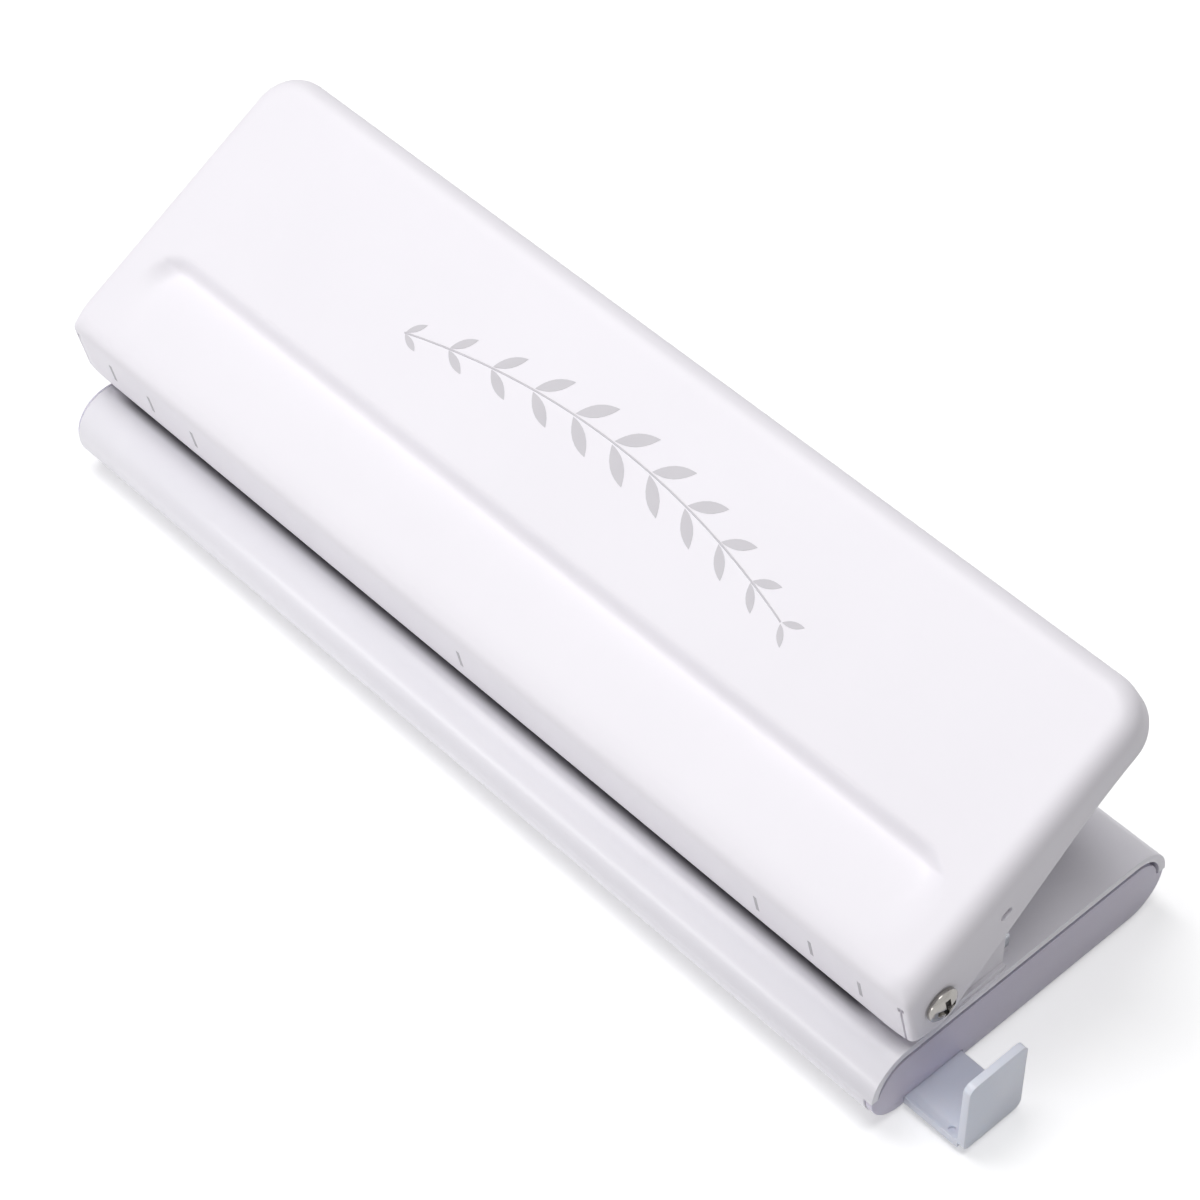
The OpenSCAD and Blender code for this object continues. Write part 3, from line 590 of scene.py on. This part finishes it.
leverCover = makeLever()
print("lever made:", len(leverCover.data.polygons), "faces")


# Paper ticks: short strokes of ink down the skirt, at its centre and near both ends

ticks = {
    "besideMm": (55.5, 65.0, 73.5), "topDepthMm": 4.2, "lowDepthMm": 7.5, "wideMm": 0.55, "filmMm": 0.06,
}


def tickTree():
    tree, ports, given = newTree("paperTicks", Geometry="Geometry", Size="Vector", Turn="Vector")
    places = addNode(tree, "GeometryNodeMeshToPoints", {"Mesh": given["Geometry"]})
    stroke = addNode(tree, "GeometryNodeMeshCube", {"Size": given["Size"]})
    strokes = addNode(tree, "GeometryNodeInstanceOnPoints", {
        "Points": places.outputs["Points"], "Instance": stroke.outputs["Mesh"], "Rotation": given["Turn"],
    })
    closeTree(tree, strokes.outputs["Instances"], printedInk)
    return tree, ports


def makeTicks():
    tree, ports = tickTree()
    top, low = ticks["topDepthMm"], ticks["lowDepthMm"]
    depth = (top + low) / 2
    xs = [0] + [side * x for x in ticks["besideMm"] for side in (-1, 1)]
    mesh = bpy.data.meshes.new("paperTicks")
    mesh.from_pydata([plateToWorld(x, flatFront - skirtOut(depth), -depth) * mm for x in xs], [], [])
    piece = newPiece("paperTicks", mesh, printedInk)
    long = (low - top) / math.cos(skirtLean)
    bakedTree(piece, tree, ports, {
        "Size": (ticks["wideMm"] * mm, long * mm, ticks["filmMm"] * mm),
        "Turn": (math.pi / 2 + tilt - skirtLean, 0, 0),
    })
    return fit(piece, "lever", "white_enamel")


makeTicks()
print("ticks printed:", 1 + 2 * len(ticks["besideMm"]))


# Leaf sprig printed on the plate behind the strip: an arched stem with pairs of pointed leaves

sprig = {
    "halfMm": 36, "endsU": 27.5, "crownU": 38, "pairs": 11, "leafMm": 6.4, "leafWideMm": 1.9, "leafTurn": 36,
    "leafPoints": 20, "leafFoot": 1.15, "smallestShare": 0.5, "sharpDegrees": 40,
    "stemMm": 0.16, "stemSunkMm": 0.07, "stemSides": 10, "archPoints": 64, "filmMm": 0.05,
}


def sprigTree():
    tree, ports, given = newTree(
        "leafSprig", Start="Vector", Crown="Vector", End="Vector", Normal="Vector", Leaf="Vector",
        Stem="Float", Pairs="Int",
    )
    arch = addNode(tree, "GeometryNodeCurveQuadraticBezier", {
        "Resolution": sprig["archPoints"],
        "Start": given["Start"], "Middle": given["Crown"], "End": given["End"],
    }).outputs["Curve"]
    wire = addNode(tree, "GeometryNodeCurvePrimitiveCircle", {
        "Resolution": sprig["stemSides"], "Radius": given["Stem"],
    })
    stem = addNode(tree, "GeometryNodeCurveToMesh", {
        "Curve": arch, "Profile Curve": wire.outputs["Curve"], "Fill Caps": True,
    })

    # a leaf is a thin disc drawn to points at both ends, with its foot at the stem
    disc = addNode(tree, "GeometryNodeMeshCylinder", {
        "Vertices": sprig["leafPoints"], "Radius": 1.0, "Depth": 1.0,
    })
    position = addNode(tree, "GeometryNodeInputPosition").outputs[0]
    place = addNode(tree, "ShaderNodeSeparateXYZ", {0: position}).outputs
    width = addNode(tree, "ShaderNodeMath", {0: place["Y"]}, operation="ABSOLUTE")
    pinched = addNode(tree, "ShaderNodeMath", {0: place["Y"], 1: width.outputs[0]}, operation="MULTIPLY")
    footed = addNode(tree, "ShaderNodeMath", {0: place["X"], 1: sprig["leafFoot"]}, operation="ADD")
    lens = addNode(tree, "ShaderNodeCombineXYZ", {
        "X": footed.outputs[0], "Y": pinched.outputs[0], "Z": place["Z"],
    })
    leaf = addNode(tree, "GeometryNodeSetPosition", {
        "Geometry": disc.outputs["Mesh"], "Position": lens.outputs[0],
    })
    sized = addNode(tree, "GeometryNodeTransform", {"Geometry": leaf.outputs[0], "Scale": given["Leaf"]})
    pair = addNode(tree, "GeometryNodeJoinGeometry")
    for way in (-1, 1):
        turned = addNode(tree, "GeometryNodeTransform", {
            "Geometry": sized.outputs[0], "Rotation": (0, 0, way * math.radians(sprig["leafTurn"])),
        })
        tree.links.new(turned.outputs[0], pair.inputs[0])

    feet = addNode(tree, "GeometryNodeResampleCurve", {"Curve": arch, "Count": given["Pairs"]})
    flat = addNode(tree, "FunctionNodeAlignRotationToVector", {"Vector": given["Normal"]}, axis="Z")
    tangent = addNode(tree, "GeometryNodeInputTangent").outputs[0]
    along = addNode(tree, "FunctionNodeAlignRotationToVector", {
        "Rotation": flat.outputs[0], "Vector": tangent,
    }, axis="X", pivot_axis="Z")
    share = addNode(tree, "GeometryNodeSplineParameter").outputs["Factor"]
    half = addNode(tree, "ShaderNodeMath", {0: share, 1: math.pi}, operation="MULTIPLY")
    swell = addNode(tree, "ShaderNodeMath", {0: half.outputs[0]}, operation="SINE")
    grown = addNode(tree, "ShaderNodeMapRange", {
        "Value": swell.outputs[0], "To Min": sprig["smallestShare"], "To Max": 1.0,
    })
    size = addNode(tree, "ShaderNodeCombineXYZ", {"X": grown.outputs[0], "Y": grown.outputs[0], "Z": 1.0})
    leaves = addNode(tree, "GeometryNodeInstanceOnPoints", {
        "Points": feet.outputs["Curve"], "Instance": pair.outputs[0],
        "Rotation": along.outputs[0], "Scale": size.outputs[0],
    })
    both = addNode(tree, "GeometryNodeJoinGeometry", {0: leaves.outputs[0]})
    tree.links.new(stem.outputs["Mesh"], both.inputs[0])
    closeTree(tree, both.outputs[0], paleInk)
    return tree, ports


def makeSprig():
    tree, ports = sprigTree()
    piece = newPiece("leafSprig", bpy.data.meshes.new("leafSprig"), paleInk)
    half, sunk = sprig["halfMm"], -sprig["stemSunkMm"]
    thick = 2 * (sprig["stemSunkMm"] + sprig["filmMm"])
    mesh = bakedTree(piece, tree, ports, {
        "Start": plateToWorld(-half, sprig["endsU"], sunk) * mm,
        "Crown": plateToWorld(0, sprig["crownU"], sunk) * mm,
        "End": plateToWorld(half, sprig["endsU"], sunk) * mm,
        "Normal": plateToWorld(0, 0, 1) - plateToWorld(0, 0, 0),
        "Leaf": (sprig["leafMm"] / 2 * mm, sprig["leafWideMm"] / 2 * mm, thick * mm),
        "Stem": sprig["stemMm"] * mm,
        "Pairs": sprig["pairs"],
    })
    smoothMesh(mesh, sprig["sharpDegrees"])
    return fit(piece, "lever", "white_enamel")


makeSprig()
print("sprig printed:", sprig["pairs"], "pairs of leaves")


# Rigid pieces: copies of the solids with welded points and eased edges

easedMm = {
    "base_shell": 0.22, "right_end_cap": 0.15, "anti_slip_mat": 0.15, "guide_keeper": 0.12,
    "punch_frame": 0.3, "spacer_strip": 0.1, "guide_plate": 0.15, "frame_screws": 0.07,
    "pivot_screw_left": 0.08, "pivot_screw_right": 0.08,
    "pivot_washer_left": 0.08, "pivot_washer_right": 0.08,
    "pivot_insert_left": 0.1, "pivot_insert_right": 0.1,
    "press_bar": 0.15, "paper_guide": 0.3, "chip_tray": 0.15,
}
easedMm.update({f"guide_bush_{i}": 0.15 for i in six})
easedMm.update({f"punch_pin_{i}": 0.06 for i in six})
easedMm.update({f"spring_collar_{i}": 0.08 for i in six})
easing = {"weldMm": 0.002, "flatDegrees": 1, "edgeDegrees": 40, "segments": 2, "sharpDegrees": 38}
seam = {"openMm": 0.75, "backFade": 0.65, "sideRamp": 1.5}
recess = {"sunkMm": 0.3, "deepMm": 1.3, "reachMm": 1.7}
materialOf = {
    "white_enamel": stovedEnamel, "white_shell": paintedTube, "pale_plastic": mouldedPolypropylene,
    "zinc_steel": zincSheet, "tool_steel": groundSteel, "spring_steel": springSteel,
    "nickel_screw": nickelPlate, "brass": turnedBrass, "nylon": naturalNylon, "rubber_mat": gripRubber,
}
ownMaterial = {"paper_guide": mouldedStyrene}


def openSeam(form):  # end cap's upper half drawn in, so that its joint with the tube reads as a dark line
    low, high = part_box("base_shell")
    middle = (low.z + high.z) / 2
    flat = high.y - (high.z - middle)
    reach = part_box("right_end_cap")[1].z - middle
    for vert in form.verts:
        above = (vert.co.z - middle) / reach
        beside = max(abs(vert.co.y) - flat, 0) / reach
        if above > 0:
            opening = seam["openMm"] * mm * (1 - seam["backFade"] * beside if vert.co.y > 0 else 1)
            vert.co.y -= math.copysign(opening * beside * min(seam["sideRamp"] * above, 1), vert.co.y)
            vert.co.z -= opening * above


# paints shade into a screw's cross: the faces sunk into the head's crown take the dark recess material
def paintRecessShade(screw):  # faces sunk into the head's crown, near the screw's axis
    screw.data.materials.append(paintedRecessShade)
    crown = max(abs(vert.co.x) for vert in screw.data.vertices)
    for face in screw.data.polygons:
        sunk = (crown - abs(face.center.x)) / mm
        besideAxis = math.hypot(face.center.y / mm - pivot.y, face.center.z / mm - pivot.z)
        if recess["sunkMm"] < sunk < recess["deepMm"] and besideAxis < recess["reachMm"]:
            face.material_index = 1


def easedCopy(node):
    form = bmesh.new()
    form.from_mesh(nodes[node].data)
    bmesh.ops.remove_doubles(form, verts=form.verts, dist=easing["weldMm"] * mm)
    flat = math.radians(easing["flatDegrees"])
    bmesh.ops.dissolve_limit(form, angle_limit=flat, verts=form.verts, edges=form.edges)
    if node == "right_end_cap":
        openSeam(form)
    mesh = bpy.data.meshes.new(node)
    form.to_mesh(mesh)
    form.free()
    if "custom_normal" in mesh.attributes:
        mesh.attributes.remove(mesh.attributes["custom_normal"])
    piece = newPiece(node + "_eased", mesh, ownMaterial.get(node, materialOf[slotOf[node]]))
    ease = piece.modifiers.new("ease", "BEVEL")
    ease.width = easedMm[node] * mm
    ease.segments = easing["segments"]
    ease.limit_method = "ANGLE"
    ease.angle_limit = math.radians(easing["edgeDegrees"])
    smoothMesh(baked(piece), easing["sharpDegrees"])
    if node.startswith("pivot_screw"):
        paintRecessShade(piece)
    return fit(piece, bodyOf[node], slotOf[node], node)


for node in easedMm:
    easedCopy(node)
print("rigid pieces eased:", len(easedMm))


# Finger groove in the tray's end plate: a shallow liner closes it above and below the tray's wall

groove = {
    "halfMm": 4.2, "deepMm": 0.42, "rimMm": 0.03, "backMm": 0.66, "lowMm": 1.3, "highMm": 12.3, "steps": 16,
    "sharpDegrees": 30,
}


def makeGrooveLiner():
    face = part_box("chip_tray")[0].x
    across = []
    for i in range(groove["steps"] + 1):
        share = 2 * i / groove["steps"] - 1
        deep = groove["rimMm"] + (groove["deepMm"] - groove["rimMm"]) * (1 - share * share)
        across.append((face + deep * mm, share * groove["halfMm"] * mm))
    across.append((face + groove["backMm"] * mm, groove["halfMm"] * mm))
    across.append((face + groove["backMm"] * mm, -groove["halfMm"] * mm))
    form = bmesh.new()
    ends = (groove["lowMm"] * mm, groove["highMm"] * mm)
    rings = [[form.verts.new((x, y, z)) for x, y in across] for z in ends]
    form.faces.new(rings[0])
    form.faces.new(rings[1])
    for i in range(len(across)):
        j = (i + 1) % len(across)
        form.faces.new((rings[0][i], rings[0][j], rings[1][j], rings[1][i]))
    bmesh.ops.recalc_face_normals(form, faces=form.faces)
    mesh = bpy.data.meshes.new("grooveLiner")
    form.to_mesh(mesh)
    form.free()
    piece = newPiece("grooveLiner", mesh, mouldedPolypropylene)
    smoothMesh(mesh, groove["sharpDegrees"])
    return fit(piece, "tray", "pale_plastic")


makeGrooveLiner()
print("groove liner in")


# Return springs: closed end turns, wider pitch between

spring = {
    "turns": 4, "wireMm": 0.5, "endShare": 0.75, "ringsPerTurn": 32, "wireSides": 12, "sharpDegrees": 60,
}


def springTree():
    tree, ports, given = newTree(
        "returnSpring", Turns="Float", Radius="Float", Wire="Float", Height="Float", Seat="Vector",
    )
    coil = addNode(tree, "GeometryNodeCurveSpiral", {
        "Resolution": spring["ringsPerTurn"], "Rotations": given["Turns"], "Start Radius": given["Radius"],
        "End Radius": given["Radius"], "Height": 0.0,
    })
    share = addNode(tree, "GeometryNodeSplineParameter").outputs["Factor"]
    wave = addNode(tree, "ShaderNodeMath", {0: share, 1: math.tau}, operation="MULTIPLY")
    sine = addNode(tree, "ShaderNodeMath", {0: wave.outputs[0]}, operation="SINE")
    ends = addNode(tree, "ShaderNodeMath", {
        0: sine.outputs[0], 1: spring["endShare"] / math.tau,
    }, operation="MULTIPLY")
    climb = addNode(tree, "ShaderNodeMath", {0: share, 1: ends.outputs[0]}, operation="SUBTRACT")
    lift = addNode(tree, "ShaderNodeMath", {0: climb.outputs[0], 1: given["Height"]}, operation="MULTIPLY")
    rise = addNode(tree, "ShaderNodeCombineXYZ", {"Z": lift.outputs[0]})
    move = addNode(tree, "ShaderNodeVectorMath", {0: rise.outputs[0], 1: given["Seat"]}, operation="ADD")
    raised = addNode(tree, "GeometryNodeSetPosition", {
        "Geometry": coil.outputs["Curve"], "Offset": move.outputs[0],
    })
    ring = addNode(tree, "GeometryNodeCurvePrimitiveCircle", {
        "Resolution": spring["wireSides"], "Radius": given["Wire"],
    })
    tube = addNode(tree, "GeometryNodeCurveToMesh", {
        "Curve": raised.outputs["Geometry"], "Profile Curve": ring.outputs["Curve"], "Fill Caps": True,
    })
    closeTree(tree, tube.outputs["Mesh"], springSteel)
    return tree, ports


def makeSprings():
    tree, ports = springTree()
    for i in six:
        node = f"spring_{i}"
        low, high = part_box(node)
        wire = spring["wireMm"] / 2 * mm
        middle = (low + high) / 2
        piece = newPiece(f"returnSpring{i}", bpy.data.meshes.new(node), springSteel)
        mesh = bakedTree(piece, tree, ports, {
            "Turns": float(spring["turns"]),
            "Radius": (high.x - low.x) / 2 - wire,
            "Wire": wire,
            "Height": high.z - low.z - 2 * wire,
            "Seat": (middle.x, middle.y, low.z + wire),
        })
        smoothMesh(mesh, spring["sharpDegrees"])
        fit(piece, bodyOf[node], "spring_steel", node)
        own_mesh(piece)


makeSprings()
print("springs wound:", len(six))


# Floor and light: pale floor that keeps the shadow, two soft lamps overhead and a long one low in front

stage = {
    "floorHalf": 3.0, "floorColour": "#F0F0F1", "floorGlow": 0.42, "floorDrop": 0.05 * mm,
    "shadowReach": 0.22, "whiteFrom": 0.7, "worldColour": "#FFFFFF", "worldLevel": 0.112,
    "lamps": {
        "overhead": {"from": (-0.31, -0.09, 0.94), "away": 0.9, "wide": 0.55, "tall": 0.55, "watts": 4.65},
        "rightTop": {"from": (0.25, 0.0, 0.96), "away": 0.9, "wide": 0.3, "tall": 0.3, "watts": 1.9},
        "frontFill": {"from": (-0.25, -0.95, 0.075), "away": 1.0, "wide": 1.2, "tall": 0.14, "watts": 3.0},
    },
}


def seenRay(tree):  # 1 where the camera sees the surface, directly or through gloss or glass
    path = addNode(tree, "ShaderNodeLightPath").outputs
    shown = path["Is Camera Ray"]
    for kind in ("Is Glossy Ray", "Is Transmission Ray"):
        shown = addNode(tree, "ShaderNodeMath", {0: shown, 1: path[kind]}, operation="MAXIMUM").outputs[0]
    return shown


def addStage():
    half, low = stage["floorHalf"], -stage["floorDrop"]  # just under the mat, so they don't share a plane
    mesh = bpy.data.meshes.new("floor")
    corners = [(-half, -half, low), (half, -half, low), (half, half, low), (-half, half, low)]
    mesh.from_pydata(corners, [], [(0, 1, 2, 3)])
    material = bpy.data.materials.new("paleFloor")
    material.use_nodes = True
    tree = material.node_tree
    tree.nodes.clear()
    seen = seenRay(tree)
    glow = addNode(tree, "ShaderNodeMath", {0: seen, 1: stage["floorGlow"]}, operation="MULTIPLY")
    matt = addNode(tree, "ShaderNodeBsdfDiffuse", {"Color": colour(stage["floorColour"])})
    lit = addNode(tree, "ShaderNodeEmission", {"Strength": glow.outputs[0]})
    both = addNode(tree, "ShaderNodeAddShader", {0: matt.outputs[0], 1: lit.outputs[0]})
    place = addNode(tree, "ShaderNodeTexCoord").outputs["Object"]
    away = addNode(tree, "ShaderNodeVectorMath", {0: place}, operation="LENGTH").outputs["Value"]
    far = addNode(tree, "ShaderNodeMapRange", {
        "Value": away, "From Min": stage["shadowReach"], "From Max": stage["whiteFrom"],
    }, interpolation_type="SMOOTHSTEP").outputs["Result"]
    farSeen = addNode(tree, "ShaderNodeMath", {0: far, 1: seen}, operation="MULTIPLY")
    white = addNode(tree, "ShaderNodeEmission", {"Strength": 1.0})
    whole = addNode(tree, "ShaderNodeMixShader", {
        0: farSeen.outputs[0], 1: both.outputs[0], 2: white.outputs[0],
    })
    addNode(tree, "ShaderNodeOutputMaterial", {"Surface": whole.outputs[0]})
    newPiece("floor", mesh, material)

    world = bpy.data.worlds.new("studio")
    scene.world = world
    world.use_nodes = True
    tree = world.node_tree
    tree.nodes.clear()
    seen = seenRay(tree)
    level = addNode(tree, "ShaderNodeMapRange", {"Value": seen, "To Min": stage["worldLevel"], "To Max": 1.0})
    sky = addNode(tree, "ShaderNodeBackground", {
        "Color": colour(stage["worldColour"]), "Strength": level.outputs["Result"],
    })
    addNode(tree, "ShaderNodeOutputWorld", {"Surface": sky.outputs[0]})

    for name, lamp in stage["lamps"].items():
        light = bpy.data.lights.new(name, "AREA")
        light.shape = "RECTANGLE"
        light.size = lamp["wide"]
        light.size_y = lamp["tall"]
        light.energy = lamp["watts"]
        holder = bpy.data.objects.new(name, light)
        way = Vector(lamp["from"]).normalized()
        turn = way.to_track_quat("Z", "Y").to_matrix().to_4x4()
        holder.matrix_world = Matrix.Translation(way * lamp["away"]) @ turn
        scene.collection.objects.link(holder)
    scene.view_settings.view_transform = "Standard"


addStage()
print("stage set")
